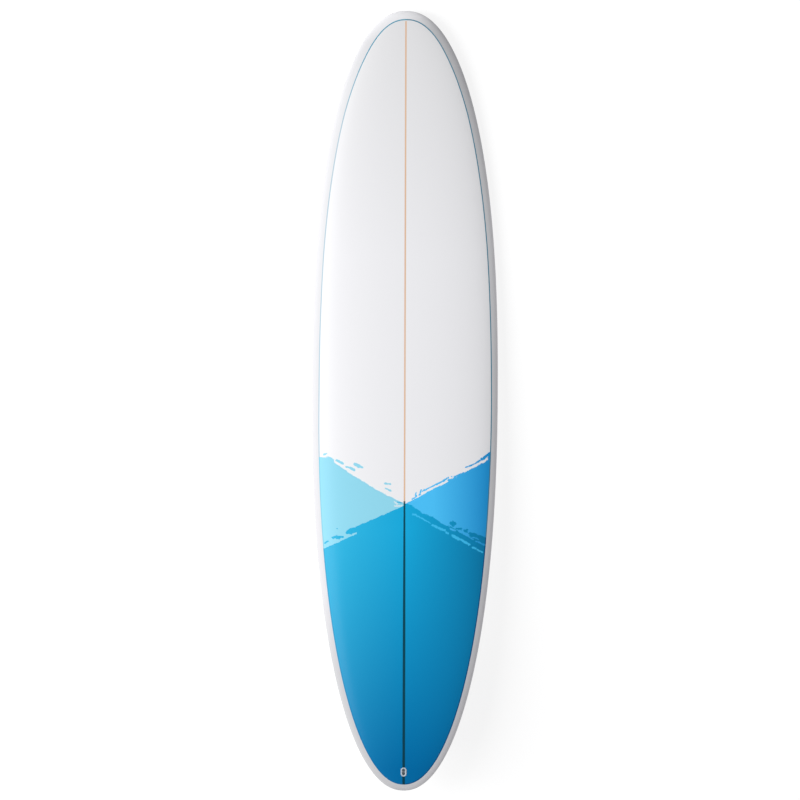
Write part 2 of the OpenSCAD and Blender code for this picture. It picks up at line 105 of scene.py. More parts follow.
class FittingSizes(bpy.types.PropertyGroup):
    leash_from_tail: size("Leash plug place", "From the tail to the plug's middle", 0.060)
    leash_length: size("Leash plug length", "Length of the plug's flange", 0.029)
    leash_width: size("Leash plug width", "Width of the plug's flange", 0.018)
    track_length: size("Track length", "Length of the centre fin's track", 0.267)
    track_width: size("Track width", "Width of the centre fin's track", 0.0254)
    track_from_tail: size("Track place", "From the tail to the track's rear end", 0.115)
    fin_depth: size("Centre fin depth", "Depth of the centre fin below the board", 0.178)
    fin_base: size("Centre fin base", "Length of the centre fin's base", 0.152)
    fin_sweep: size("Centre fin sweep", "How far the centre fin's tip lies behind its middle", 0.112)
    side_from_tail: size("Side fins' place", "From the tail to the side fins' middle", 0.345)
    side_from_rail: size("Side fins from the rail", "From the rail to the side fins' middle", 0.050)
    side_depth: size("Side fin depth", "Depth of a side fin", 0.095)
    side_base: size("Side fin base", "Length of a side fin's base", 0.102)
    side_sweep: size("Side fin sweep", "How far a side fin's tip lies behind its middle", 0.072)
    tab_spacing: size("Tab spacing", "Between the middles of a side fin's tabs", 0.076)
    plug_diameter: size("Plug diameter", "Diameter of a side fin's plug", 0.028)


class BoardColours(bpy.types.PropertyGroup):
    white: colour("White", "The sprayed white of deck and bottom", "#dddddf")
    # The nose's greyer white is painted shade
    white_nose_shaded: colour("White, nose", "The slightly greyer white at the nose", "#d3d3d4")
    # The rails' greyer whites are painted shade, where the rails curve away from the light
    rail_front_shaded: colour("Rails, front", "The slightly greyer white of the front rails", "#cbcbcd")
    rail_rear_shaded: colour("Rails, rear", "The slightly greyer white of the rear rails", "#c2c1c4")
    # The nose's paler tip is painted light, strongest on its left
    rail_tip_painted_light: colour("Nose's tip", "The paler white of the rail around the nose's tip", "#dedee0")
    # Painted shade on the rails at the nose's right and the tail's left
    rail_painted_shade: colour("Grey rails", "The rails' grey at the nose's right and the tail's left", "#b4b4b6")
    pale_panel: colour("Pale panel", "The left panel's blue", "#87c7da")
    bright_panel: colour("Bright panel", "The right panel's blue", "#47b3e6")
    bright_edge: colour("Bright panel's edge", "The right panel's blue at the rail", "#1f8ac8")
    tail_front: colour("Tail, front", "The tail's blue where it meets the panels", "#159dcc")
    tail_rear: colour("Tail, rear", "The tail's blue at the plug", "#006298")
    tail_left: colour("Tail, left", "The blue that the tail fades to on its left", "#48b9d2")
    tail_right: colour("Tail, right", "The blue that the tail fades to on its right", "#004b7b")
    scratch: colour("Dry brush", "The lighter streaks of the dry brush on the tail", "#3fb6e4")
    pinline: colour("Pinline", "The thin line around the deck", "#418ca4")
    # The line's duller right is painted shade
    pinline_right_shaded: colour("Right pinline", "The duller blue of the line's right side", "#3f5f74")
    wood: colour("Stringer", "The stringer's wood under the glass", "#dba878")
    dark_line: colour("Dark line", "The line over the stringer where the deck is blue", "#0a3033")
    fins: colour("Fins", "The moulded nylon of the fins", "#0b4f74")
    plastic: colour("Fitting plastic", "The moulded plastic of the track and the fin plugs", "#1b1d20")
    plug: colour("Leash plug", "The moulded plastic of the leash plug", "#a3adb5")


# ---- The hull's rules ----

def half_width(y):
    s = bpy.context.scene.hull_sizes
    half, wide = s.length / 2, s.length / 2 - s.wide_share * s.length
    ahead = y > wide
    reach = np.where(ahead, (y - wide) / (half - wide), (wide - y) / (half + wide))
    full = np.where(ahead, s.nose_fullness, s.tail_fullness)
    blunt = np.where(ahead, s.nose_roundness, s.tail_roundness)
    return s.width / 2 * np.clip(1 - np.clip(reach, 0, 1) ** full, 0, None) ** blunt


def rocker(y):
    s = bpy.context.scene.hull_sizes
    half = s.length / 2
    rise = np.clip((y - s.flat_y) / (half - s.flat_y), 0, None) ** s.nose_lift * s.nose_rocker
    return rise + np.clip((s.flat_y - y) / (half + s.flat_y), 0, None) ** s.tail_lift * s.tail_rocker


def depth(y):
    s = bpy.context.scene.hull_sizes
    full = np.abs(2 * y / s.length) ** s.foil_fullness
    return s.thickness * np.clip(1 - full, 0, None) ** s.foil_roundness


def surface_z(x, y, side):
    """Height of the deck (side 1) or the bottom (side -1)."""
    s = bpy.context.scene.hull_sizes
    v = np.clip(np.abs(x) / half_width(y), 0, 1)
    if side > 0:
        rise = (1 - s.rail_share) * (1 - v ** s.deck_fullness) ** (1 / s.deck_fullness)
    else:
        rise = -s.rail_share * (1 - v ** s.bottom_fullness) ** (1 / s.tuck_roundness)
    return rocker(y) + (s.rail_share + rise) * depth(y)


def slope(x, y, side, along):
    """Angle of the surface along the board or across it, over 10 mm."""
    dx, dy = (0, 5 * MM) if along else (5 * MM, 0)
    rise = surface_z(x + dx, y + dy, side) - surface_z(x - dx, y - dy, side)
    return math.atan(rise / (10 * MM))


def rim_inset(x, y):
    """Distance of a point in plan from the outline, in metres, from the outline's rule."""
    s = bpy.context.scene.hull_sizes
    half, wide = s.length / 2, s.length / 2 - s.wide_share * s.length
    ahead = y > wide
    span = np.where(ahead, half - wide, half + wide)
    full = np.where(ahead, s.nose_fullness, s.tail_fullness)
    power = 1 / np.where(ahead, s.nose_roundness, s.tail_roundness)
    u = np.clip(np.abs(y - wide) / span, 1e-6, 1)
    v = np.clip(np.abs(x) / (s.width / 2), 1e-6, 1)
    rest = 1 - u ** full - v ** power
    steep = np.hypot(full * u ** (full - 1) / span, power * v ** (power - 1) / (s.width / 2))
    return rest / np.maximum(steep, 0.3)


def turn_x(angle):
    return Matrix.Rotation(angle, 4, "X")


def track_frame():
    """The track's frame on the board: Z is zero on its face and grows into the board."""
    f, s = bpy.context.scene.fitting_sizes, bpy.context.scene.hull_sizes
    y = -s.length / 2 + f.track_from_tail + f.track_length / 2
    place = Matrix.Translation((0, y, float(surface_z(0, y, -1))))
    proud = 0.3 * MM
    return place @ turn_x(slope(0, y, -1, True)) @ Matrix.Translation((0, 0, -proud))


def side_frame(sign):
    """A side fin's frame on the board: Z is zero on the bottom and grows into the board."""
    f, s = bpy.context.scene.fitting_sizes, bpy.context.scene.hull_sizes
    toe_in = 2.5  # degrees
    y = -s.length / 2 + f.side_from_tail
    x = float(half_width(y)) - f.side_from_rail
    place = Matrix.Translation((sign * x, y, float(surface_z(x, y, -1))))
    lean = Matrix.Rotation(-sign * slope(x, y, -1, False), 4, "Y") @ turn_x(slope(x, y, -1, True))
    return place @ lean @ Matrix.Rotation(math.radians(sign * toe_in), 4, "Z")


def leash_frame():
    """The leash plug's frame on the board: Z is zero on the deck."""
    f, s = bpy.context.scene.fitting_sizes, bpy.context.scene.hull_sizes
    y = -s.length / 2 + f.leash_from_tail
    return Matrix.Translation((0, y, float(surface_z(0, y, 1)))) @ turn_x(slope(0, y, 1, True))


def rest_frame():
    """From the board's own frame to the one it rests in, on its fin's tip and the forward bottom."""
    s, f = bpy.context.scene.hull_sizes, bpy.context.scene.fitting_sizes
    chord = f.fin_base * (1 - TAPER * TIP_SHARE) * math.sqrt(1 - TIP_SHARE ** TIP_POWER)
    middle = -f.fin_sweep * TIP_SHARE ** SWEEP_POWER
    tip_z = -f.fin_depth * TIP_SHARE
    tips = [track_frame() @ Vector((0, middle + end * chord, tip_z)) for end in (0.5, -0.5)]
    ys = s.length / 2 * np.cos(np.pi * np.arange(STATIONS + 1) / STATIONS)
    bottom = []
    for y in ys[1:-1]:
        x = min(STRINGER_HALF * MM, float(half_width(y)))
        bottom.append(Vector((0, y, float(surface_z(x, y, -1)))))
    ends = [Vector((0, e * s.length / 2, float(rocker(e * s.length / 2)))) for e in (1, -1)]
    pitch = max(min(math.atan2(p.z - c.z, p.y - c.y) for p in bottom + ends if p.y > 0) for c in tips)
    turned = turn_x(-pitch)
    low = min((turned @ c).z for c in tips)
    reach = [(turned @ p).y for p in bottom + ends]
    return Matrix.Translation((0, -(max(reach) + min(reach)) / 2, -low)) @ turned


# ---- Nodes and meshes ----

def add(tree, kind, *feeds, into=None, **settings):
    """Adds a node with its settings and links. The kind may be a math operation, such as "POWER". A feed is
    a socket, a node, a value, or a formula such as ("POWER", a, b), which becomes a node of its own."""
    node = tree.nodes.new("ShaderNodeMath" if kind.isupper() else kind)
    if kind.isupper():
        node.operation = kind
    for key, value in settings.items():
        setattr(node, key, value)
    for place, feed in [*enumerate(feeds), *(into or {}).items()]:
        if isinstance(feed, tuple) and isinstance(feed[0], str):
            feed = add(tree, *feed)
        if isinstance(feed, bpy.types.Node):
            feed = next(o for o in feed.outputs if o.enabled)
        if isinstance(feed, bpy.types.NodeSocket):
            tree.links.new(feed, node.inputs[place])
        else:
            node.inputs[place].default_value = feed
    return node


def most(terms):
    """A formula for the greatest of many terms."""
    result = terms[0]
    for term in terms[1:]:
        result = ("MAXIMUM", result, term)
    return result


def soft_edge(depth, blur):
    """A formula that goes from 0 to 1 as a depth passes zero, over a blur of the same unit."""
    return ("MINIMUM", ("MAXIMUM", ("ADD", ("DIVIDE", depth, blur), 0.5), 0.0), 1.0)


def coated(tree, ground, *coats):
    """A ground with coats of colour over it. A coat is how far it covers, from 0 to 1, and its colour."""
    factor, under, over, result = 0, 6, 7, 2  # a colour mix's sockets
    for cover, tint in coats:
        pair = [c if isinstance(c, bpy.types.NodeSocket) else (*c[:3], 1.0) for c in (ground, tint)]
        feeds = {factor: cover, under: pair[0], over: pair[1]}
        ground = add(tree, "ShaderNodeMix", into=feeds, data_type="RGBA").outputs[result]
    return ground


def plain_mesh(obj):
    """Turns what an object's modifiers make into its own mesh and removes them."""
    bpy.context.view_layer.update()
    seen = obj.evaluated_get(bpy.context.evaluated_depsgraph_get())
    mesh = bpy.data.meshes.new_from_object(seen)
    obj.modifiers.clear()
    obj.data = mesh
    return obj


def new_object(name, mesh):
    mesh.name = name
    obj = bpy.data.objects.new(name, mesh)
    bpy.context.scene.collection.objects.link(obj)
    return obj


def grown(name, tree, values):
    """A plain mesh object from a geometry node tree and the values of its named inputs."""
    obj = new_object(name, bpy.data.meshes.new(name))
    rule = obj.modifiers.new("Rule", "NODES")
    rule.node_group = tree
    for item in tree.interface.items_tree:
        if item.item_type == "SOCKET" and item.in_out == "INPUT" and item.name in values:
            rule[item.identifier] = values[item.name]
    return plain_mesh(obj)


def new_tree(name, numbers):
    """A geometry node tree with a mesh output, and its named number inputs as a dictionary of sockets."""
    tree = bpy.data.node_groups.new(name, "GeometryNodeTree")
    for label in numbers:
        tree.interface.new_socket(label, in_out="INPUT", socket_type="NodeSocketFloat")
    tree.interface.new_socket("Material", in_out="INPUT", socket_type="NodeSocketMaterial")
    tree.interface.new_socket("Mesh", in_out="OUTPUT", socket_type="NodeSocketGeometry")
    source = add(tree, "NodeGroupInput")
    return tree, {o.name: o for o in source.outputs if o.name}


def end_tree(tree, geometry, material):
    real = add(tree, "GeometryNodeRealizeInstances", geometry)
    painted = add(tree, "GeometryNodeSetMaterial", real, into={"Material": material})
    add(tree, "NodeGroupOutput", painted)


def shade(obj, angle=35):
    """Smooth over gentle edges, sharp over the rest."""
    obj.data.shade_smooth()
    obj.data.set_sharp_from_angle(angle=math.radians(angle))
    return obj


def ring_mesh(rings, name):
    """A closed mesh through rings of equally many points, with both ends filled."""
    work = bmesh.new()
    rows = [[work.verts.new(p) for p in ring] for ring in rings]
    for a, b in zip(rows, rows[1:]):
        for k in range(len(a)):
            n = (k + 1) % len(a)
            work.faces.new((a[k], a[n], b[n], b[k]))
    work.faces.new(rows[0][::-1])
    work.faces.new(rows[-1])
    bmesh.ops.recalc_face_normals(work, faces=work.faces)
    mesh = bpy.data.meshes.new(name)
    work.to_mesh(mesh)
    work.free()
    return mesh


def round_ended_ring(straight, radius, z, steps=24):
    """Points around a plate with round ends, lying along Y, whose ends are straight apart."""
    points = []
    for end in (1, -1):
        for k in range(steps + 1):
            a = math.pi * k / steps + (0 if end > 0 else math.pi)
            points.append(Vector((radius * math.cos(a), end * straight / 2 + radius * math.sin(a), z)))
    return points


def cut(obj, cutters):
    """Cuts each of the meshes out of an object."""
    tools = [new_object("tool", mesh) for mesh in cutters]
    for tool in tools:
        step = obj.modifiers.new("Cut", "BOOLEAN")
        step.object = tool
        step.operation = "DIFFERENCE"
        step.solver = "EXACT"
    plain_mesh(obj)
    for tool in tools:
        bpy.data.objects.remove(tool)
    return obj


def joined(name, meshes):
    """One mesh from several, each already in its place."""
    work = bmesh.new()
    for mesh in meshes:
        work.from_mesh(mesh)
    mesh = bpy.data.meshes.new(name)
    work.to_mesh(mesh)
    work.free()
    return mesh


def finish_piece(obj, body, slot, *nodes):
    """Gives every face of a piece its one material, and says what it rides on and what it replaces."""
    material = next(m for m in obj.data.materials if m)
    obj.data.materials.clear()
    obj.data.materials.append(material)
    obj.data.polygons.foreach_set("material_index", [0] * len(obj.data.polygons))
    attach(obj, body)
    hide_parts(*nodes)
    return obj


# ---- Materials ----

def new_material(name):
    """A material with an empty tree and its output, and the tree."""
    material = bpy.data.materials.new(name)
    material.use_nodes = True
    material.node_tree.nodes.clear()
    return material, material.node_tree


# Brush strokes of the paint, in millimetres on the board: from x, y to x, y, and width
PALE_FLECKS = ((-251, -167, -243, -164, 5), (-213, -185, -193, -195, 8), (-183, -205, -166, -210, 5.5),
               (-168, -210, -158, -215, 9), (-155, -197, -143, -203, 11), (-143, -203, -132, -206, 6),
               (-60, -257, -55, -258, 7), (-55, -258, -43, -259, 4.5), (-59, -272, -54, -274, 5),
               (-52, -277, -43, -279, 5))
PALE_DROPS = ((-247, -452, -226, -445, 9), (-232, -444, -205, -438, 9), (-206, -437, -152, -413, 4.5))
WHITE_DROPS = ((-32, -314, -22, -321, 4.5), (-30, -328, -9, -325.5, 5))
LINE_FLECKS = ((193, -206, 215, -196, 4.5), (215, -196, 242, -181, 5.5), (242, -181, 268, -161, 9),
               (265, -166, 266, -185, 8), (57, -280, 124, -247, 4.4), (123, -246, 137, -238, 5),
               (52, -277, 47, -294, 5), (36, -286, 37, -296, 5), (37, -297, 24, -306, 5),
               (148, -235, 149, -235, 4))
BRIGHT_FLECKS = ((138, -246, 147, -245, 8), (156, -237, 184, -223, 5))
BRIGHT_DROPS = ((143, -398, 158, -404, 5), (172, -405, 180, -410, 8), (187, -413, 199, -418, 8),
                (202, -422, 216, -432, 3.5), (213, -424, 232, -431, 3.5), (225, -437, 250, -449, 4.5))
TAIL_FLECKS = ((-148, -401, -168, -407, 19), (-168, -407, -177, -410, 13), (-224, -428, -212, -423, 8),
               (-212, -424, -193, -425, 6), (-211, -428, -204, -430, 6), (-249, -444, -239, -438, 5.5),
               (-211, -399, -210, -399, 3.5), (146, -381, 157, -382, 10), (151, -376, 152, -389, 6),
               (163, -398, 178, -398, 6), (170, -401, 176, -403, 6), (189, -404, 197, -401, 7),
               (192, -407, 196, -407, 6), (206, -417, 222, -421, 17), (226, -426, 256, -437, 21),
               (-22, -315.5, -7, -317.5, 3))
TAIL_SCRATCHES = ((26, -353, 34, -354, 6), (34, -355, 68, -373, 4.5), (68, -373, 82, -381, 2.6),
                  (88, -387, 101, -393, 7), (107, -396, 126, -403, 7), (131, -409, 137, -413, 6),
                  (151, -420, 168, -430, 9), (168, -429, 187, -436, 6), (184, -437, 204, -448, 7),
                  (215, -457, 224, -460, 6), (229, -464, 244, -472, 5))


def stroke_group():
    """A node group that gives how far inside a brush stroke a point lies, in millimetres."""
    tree = bpy.data.node_groups.new("Brush stroke", "ShaderNodeTree")
    for label in ("X", "Y", "X1", "Y1", "X2", "Y2", "Width"):
        tree.interface.new_socket(label, in_out="INPUT", socket_type="NodeSocketFloat")
    tree.interface.new_socket("Inside", in_out="OUTPUT", socket_type="NodeSocketFloat")
    i = {o.name: o for o in add(tree, "NodeGroupInput").outputs if o.name}
    run, climb = ("SUBTRACT", i["X2"], i["X1"]), ("SUBTRACT", i["Y2"], i["Y1"])
    px, py = ("SUBTRACT", i["X"], i["X1"]), ("SUBTRACT", i["Y"], i["Y1"])
    long2 = ("ADD", ("MULTIPLY", run, run), ("MULTIPLY", climb, climb))
    along = ("DIVIDE", ("ADD", ("MULTIPLY", px, run), ("MULTIPLY", py, climb)), long2)
    t = add(tree, "MINIMUM", ("MAXIMUM", along, 0.0), 1.0)
    off_x, off_y = ("SUBTRACT", px, ("MULTIPLY", t, run)), ("SUBTRACT", py, ("MULTIPLY", t, climb))
    away = ("SQRT", ("ADD", ("MULTIPLY", off_x, off_x), ("MULTIPLY", off_y, off_y)))
    add(tree, "NodeGroupOutput", ("SUBTRACT", ("MULTIPLY", i["Width"], 0.5), away))
    return tree


def board_place(tree):
    """A point's place on the board and its distance from the outline, in millimetres."""
    place = add(tree, "ShaderNodeAttribute", attribute_name="board_mm").outputs["Vector"]
    xyz = add(tree, "ShaderNodeSeparateXYZ", place)
    inset = add(tree, "ShaderNodeAttribute", attribute_name="inset_mm").outputs["Fac"]
    return xyz.outputs[0], xyz.outputs[1], inset


def wood_grain(tree, x, y, scale, wood):
    """Basswood's colour: its grain is drawn out fifty times along the board."""
    way = add(tree, "ShaderNodeCombineXYZ", x, ("MULTIPLY", y, 1 / 50), 0.0)
    grain = add(tree, "ShaderNodeTexNoise", into={"Vector": way, "Scale": scale, "Detail": 4.0})
    return grain, coated(tree, wood, (grain, [c * 0.72 for c in wood]))


def rail_paint_and_shade(tree, colours, x, y):
    """The rails' white, greyer than the deck's as painted shade: palest at the nose's tip as painted light,
    greyer towards the tail, and greyest, as painted shade, at the nose's right and the tail's left."""
    nearer_tail = add(tree, "ShaderNodeMapRange", y, 600.0, -1000.0)
    to_right = add(tree, "ShaderNodeMapRange", x, -80.0, 80.0)
    to_left = ("SUBTRACT", 1.0, to_right)
    # Painted shade: the rails grey further at the nose's right and the tail's left
    nose_right_shade = ("MULTIPLY", to_right, ("ShaderNodeMapRange", y, 500.0, 1000.0))
    tail_left = ("MULTIPLY", to_left, ("ShaderNodeMapRange", y, -600.0, -850.0))
    # Painted light: the rail is paler round the nose's tip, most on its left
    tip = ("MULTIPLY", ("ShaderNodeMapRange", y, 1120.0, 1200.0), ("ShaderNodeMapRange", x, 120.0, -20.0))
    return coated(tree, colours.rail_front_shaded, (nearer_tail, colours.rail_rear_shaded),
                  (("ADD", nose_right_shade, tail_left), colours.rail_painted_shade), (tip, colours.rail_tip_painted_light))


def deck_paint(tree, colours):
    """Sprayed paint under the glass: white, a pinline, two panels and the tail, with dry-brushed edges."""
    x, y, inset = board_place(tree)
    side, out = add(tree, "SIGN", x), add(tree, "ABSOLUTE", x)
    left, right = add(tree, "LESS_THAN", x, 0.0), add(tree, "GREATER_THAN", x, 0.0)

    def noise(seed, scale):
        way = add(tree, "ShaderNodeCombineXYZ", x, y, seed)
        spread = add(tree, "ShaderNodeTexNoise", into={"Vector": way, "Scale": scale, "Detail": 2.0})
        return ("SUBTRACT", spread, 0.5)

    def bristles(lean, seed):
        """Noise drawn out along a brush's way, some 5 mm across and 20 mm long. The lean is in degrees."""
        c, s = math.cos(math.radians(lean)), math.sin(math.radians(lean))
        along = ("MULTIPLY", ("ADD", ("MULTIPLY", out, c), ("MULTIPLY", y, s)), 1 / 20)
        across = ("MULTIPLY", ("SUBTRACT", ("MULTIPLY", y, c), ("MULTIPLY", out, s)), 1 / 5)
        way = add(tree, "ShaderNodeCombineXYZ", along, across, ("MULTIPLY", side, seed))
        marks = {"Vector": way, "Scale": 1.0, "Detail": 3.0, "Roughness": 0.6}
        return add(tree, "SUBTRACT", add(tree, "ShaderNodeTexNoise", into=marks), 0.5)

    upper, lower = bristles(28, 7.3), bristles(-27, 11.9)
    # Strokes waver by up to some 5 mm sideways and 3 mm along, and every edge is chipped by up to 2.5 mm
    shaken_x = add(tree, "ADD", x, ("MULTIPLY", noise(3.0, 0.16), 10.0))
    shaken_y = add(tree, "ADD", y, ("MULTIPLY", upper, 6.0))
    chip = add(tree, "MULTIPLY", noise(9.0, 0.3), 5.0)
    stroke = stroke_group()

    def strokes(marks):
        """The deepest place inside any of the marks, in millimetres."""
        depths = []
        for mark in marks:
            into = dict(enumerate((shaken_x, shaken_y, *mark)))
            depths.append(add(tree, "ShaderNodeGroup", node_tree=stroke, into=into).outputs[0])
        return ("ADD", most(depths), chip)

    def edge(height, rough, amount):
        """How far a point lies under a painted edge, roughened along the brush's way."""
        return ("ADD", ("SUBTRACT", height, y), ("ADD", ("MULTIPLY", rough, amount), chip))

    # The painted field keeps 20.5 mm from the outline at the tail and more towards the nose
    rim = 20.5
    for low, high, more in ((-90, 315, 3.0), (500, 1000, 2.5), (900, 1066, 3.2), (1090, 1200, -1.8)):
        rim = ("ADD", rim, ("ShaderNodeMapRange", y, low, high, 0.0, more))
    # Ahead of the tail it sits 1.6 mm right of the middle
    shift = ("ShaderNodeMapRange", x, -100, 100, 1.6, -1.6)
    rim = add(tree, "ADD", rim, ("MULTIPLY", ("ShaderNodeMapRange", y, -300.0, 0.0), shift))
    inside = add(tree, *soft_edge(("SUBTRACT", inset, rim), 1.0))

    # The pale panel's front edge bends forward, steps forward near the rail and ends level
    climb = ("ADD", ("MULTIPLY", out, 0.45), ("MULTIPLY", ("MULTIPLY", out, out), 0.0006))
    step = ("MULTIPLY", ("GREATER_THAN", out, 221.0), 9.0)
    pale = edge(("MINIMUM", ("ADD", ("SUBTRACT", climb, 320.0), step), -175.5), upper, 13.0)
    # The bright panel's is straight
    bright = edge(("SUBTRACT", ("MULTIPLY", x, 0.535), 322.5), upper, 13.0)
    # The tail's left arm has one drop in its edge, and its right arm short level runs between many
    drop = ("MULTIPLY", ("GREATER_THAN", out, 153.0), ("ADD", 16.0, ("MULTIPLY", out, 0.038)))
    tail_left = edge(("SUBTRACT", ("SUBTRACT", -325.5, ("MULTIPLY", out, 0.44)), drop), lower, 9.0)
    run = ("SUBTRACT", ("MULTIPLY", ("PINGPONG", ("ADD", x, 12.0), 34.0), 0.2), 3.0)
    tail_right = edge(("ADD", ("SUBTRACT", -317.0, ("MULTIPLY", x, 0.525)), run), lower, 14.0)
    tail = ("ADD", ("MULTIPLY", tail_left, left), ("MULTIPLY", tail_right, right))

    def covered(depth, where=1.0):
        """How far the paint covers, from 0 to 1, inside the pinline."""
        return add(tree, "MULTIPLY", soft_edge(depth, 1.2), ("MULTIPLY", inside, where))

    pale_mask = covered(("MAXIMUM", pale, strokes(PALE_FLECKS)), left)
    bright_mask = covered(("MAXIMUM", bright, strokes(BRIGHT_FLECKS)), right)
    tail_mask = covered(("MAXIMUM", tail, strokes(TAIL_FLECKS)))

    # Painted shade: the white greys towards the nose
    noseward = add(tree, "ShaderNodeMapRange", y, 450.0, 1200.0)
    white = coated(tree, colours.white, (noseward, colours.white_nose_shaded))
    railward = add(tree, "ShaderNodeMapRange", x, 90.0, 262.0)
    bright_colour = coated(tree, colours.bright_panel, (railward, colours.bright_edge))
    # The tail darkens rearwards, and to its left and right it fades to two blues, less so at the rear
    rearward = add(tree, "ShaderNodeMapRange", y, -400.0, -1150.0)
    fade = ("SUBTRACT", 1.0, ("MULTIPLY", rearward, 0.7))
    lit = ("MULTIPLY", ("DIVIDE", ("MULTIPLY", out, left), 650.0), fade)
    dim = ("MULTIPLY", ("DIVIDE", ("MULTIPLY", out, right), 400.0), fade)
    tail_colour = coated(tree, colours.tail_front, (rearward, colours.tail_rear), (lit, colours.tail_left),
                         (dim, colours.tail_right))

    # The pinline is 3.6 mm wide and covers the field's edge. It is dark on the tail, weaker on the pale
    # panel, duller on the right as painted shade, and weaker along the left, short of the nose, as a
    # painted highlight
    line_colour = coated(tree, colours.pinline, (("MULTIPLY", right, 0.5), colours.pinline_right_shaded),
                         (tail_mask, colours.tail_right))
    line = soft_edge(("SUBTRACT", 1.8, ("ABSOLUTE", ("SUBTRACT", inset, ("ADD", 1.5, rim)))), 0.8)
    # Painted highlight: the line is weaker along the left, less so near the nose
    thinner = ("MULTIPLY", left, ("ShaderNodeMapRange", y, 1100.0, 850.0, 0.0, 0.43))
    strength = ("SUBTRACT", ("SUBTRACT", 1.0, thinner), ("MULTIPLY", pale_mask, 0.25))

    paint = coated(
        tree, rail_paint_and_shade(tree, colours, x, y), (inside, white),
        (covered(strokes(LINE_FLECKS)), bright_colour), (pale_mask, colours.pale_panel),
        (bright_mask, bright_colour), (tail_mask, tail_colour),
        (covered(strokes(PALE_DROPS)), colours.pale_panel),
        (covered(strokes(BRIGHT_DROPS)), bright_colour),
        (("MULTIPLY", covered(strokes(WHITE_DROPS)), 0.6), colours.white),
        (("MULTIPLY", covered(strokes(TAIL_SCRATCHES)), 0.8), colours.scratch),
        (("MULTIPLY", line, strength), line_colour))

    # The stringer shows through the paint: pale wood under the white, and under the blue a dark line, wider
    # towards the tail. It stops short of the pinline at the nose and reaches it at the tail
    wood = wood_grain(tree, x, y, 1.1, colours.wood)[1]
    on_blue = add(tree, *soft_edge(("SUBTRACT", -312.0, y), 2.0))
    wider = ("MULTIPLY", on_blue, ("ShaderNodeMapRange", y, -350.0, -700.0, 0.5, 1.6))
    along = soft_edge(("SUBTRACT", ("ADD", STRINGER_HALF, wider), out), 0.6)
    short = ("ADD", rim, ("MULTIPLY", ("SUBTRACT", 1.0, on_blue), 6.0))
    stringer = ("MULTIPLY", along, soft_edge(("SUBTRACT", inset, short), 1.0))
    dark = coated(tree, paint, (0.9, colours.dark_line))
    return coated(tree, paint, (stringer, coated(tree, wood, (0.2, colours.white), (on_blue, dark)))), x, y


def glassed(tree, paint, flat, height=None):
    """The clear coat of epoxy over the paint. Rubbing it down leaves soft patches some 60 mm across, over
    which the gloss is not quite even, and it mirrors little of the room, so its specular level is low. It
    follows a height where the cloth under it shows."""
    patches = add(tree, "ShaderNodeTexNoise", into={"Vector": flat, "Scale": 1 / 60, "Detail": 4.0})
    rough = add(tree, "ShaderNodeMapRange", patches, 0.2, 0.8, 0.18, 0.24)
    relief = {"Height": height or patches, "Strength": 0.04, "Distance": 0.5 * MM}
    bump = add(tree, "ShaderNodeBump", into=relief)
    shader = add(tree, "ShaderNodeBsdfPrincipled", into={
        "Base Color": paint, "Roughness": rough, "Normal": bump, "IOR": 1.5, "Specular IOR Level": 0.07})
    add(tree, "ShaderNodeOutputMaterial", shader)


def deck_material(colours):
    """Spray paint under glass cloth and clear epoxy: crisp edges of colour under a soft, rippled gloss."""
    material, tree = new_material("Painted deck under epoxy and glass")
    paint, x, y = deck_paint(tree, colours)
    flat = add(tree, "ShaderNodeCombineXYZ", x, y, 0.0)
    # The cloth's weave is 0.6 mm: drawn at 3 mm, where it can just be seen, on ripples 25 mm across
    weave = [("SINE", ("MULTIPLY", way, 2 * math.pi / 3)) for way in (x, y)]
    ripple = add(tree, "ShaderNodeTexNoise", into={"Vector": flat, "Scale": 1 / 25, "Detail": 2.0})
    glassed(tree, paint, flat, ("ADD", ("MULTIPLY", ("MULTIPLY", *weave), 0.001), ripple))
    return material


def bottom_material(colours):
    """White spray under glass cloth and epoxy: the stringer shows as a faint line."""
    material, tree = new_material("White bottom under epoxy and glass")
    x, y, inset = board_place(tree)
    wood = wood_grain(tree, x, y, 1.1, colours.wood)[1]
    along = soft_edge(("SUBTRACT", STRINGER_HALF, ("ABSOLUTE", x)), 0.6)
    line = ("MULTIPLY", along, soft_edge(("SUBTRACT", inset, 24.0), 1.0))
    inward = add(tree, "ShaderNodeMapRange", inset, 15.0, 60.0)
    # The rails' white holds painted shade and, at the nose's tip, painted light
    rail = rail_paint_and_shade(tree, colours, x, y)
    paint = coated(tree, rail, (inward, colours.white), (("MULTIPLY", line, 0.6), wood))
    glassed(tree, paint, add(tree, "ShaderNodeCombineXYZ", x, y, 0.0))
    return material


def moulded_material(name, base, rough, grain_mm):
    """Moulded plastic: even colour with a fine spark-eroded grain and faint flow marks."""
    material, tree = new_material(name)
    where = add(tree, "ShaderNodeTexCoord").outputs["Object"]
    grain_scale, flow_scale = 1 / (grain_mm * MM), 1 / (30 * MM)
    grain = add(tree, "ShaderNodeTexNoise", into={"Vector": where, "Scale": grain_scale, "Detail": 2.0})
    flow = add(tree, "ShaderNodeTexNoise", into={"Vector": where, "Scale": flow_scale, "Detail": 3.0})
    tint = coated(tree, [c * 0.92 for c in base], (flow, [min(1, c * 1.08) for c in base]))
    gloss = add(tree, "ShaderNodeMapRange", flow, 0.3, 0.7, rough - 0.05, rough + 0.06)
    bump = add(tree, "ShaderNodeBump", into={"Height": grain, "Strength": 0.25, "Distance": 0.2 * MM})
    shader = add(tree, "ShaderNodeBsdfPrincipled", into={
        "Base Color": tint, "Roughness": gloss, "Normal": bump, "IOR": 1.5})
    add(tree, "ShaderNodeOutputMaterial", shader)
    return material


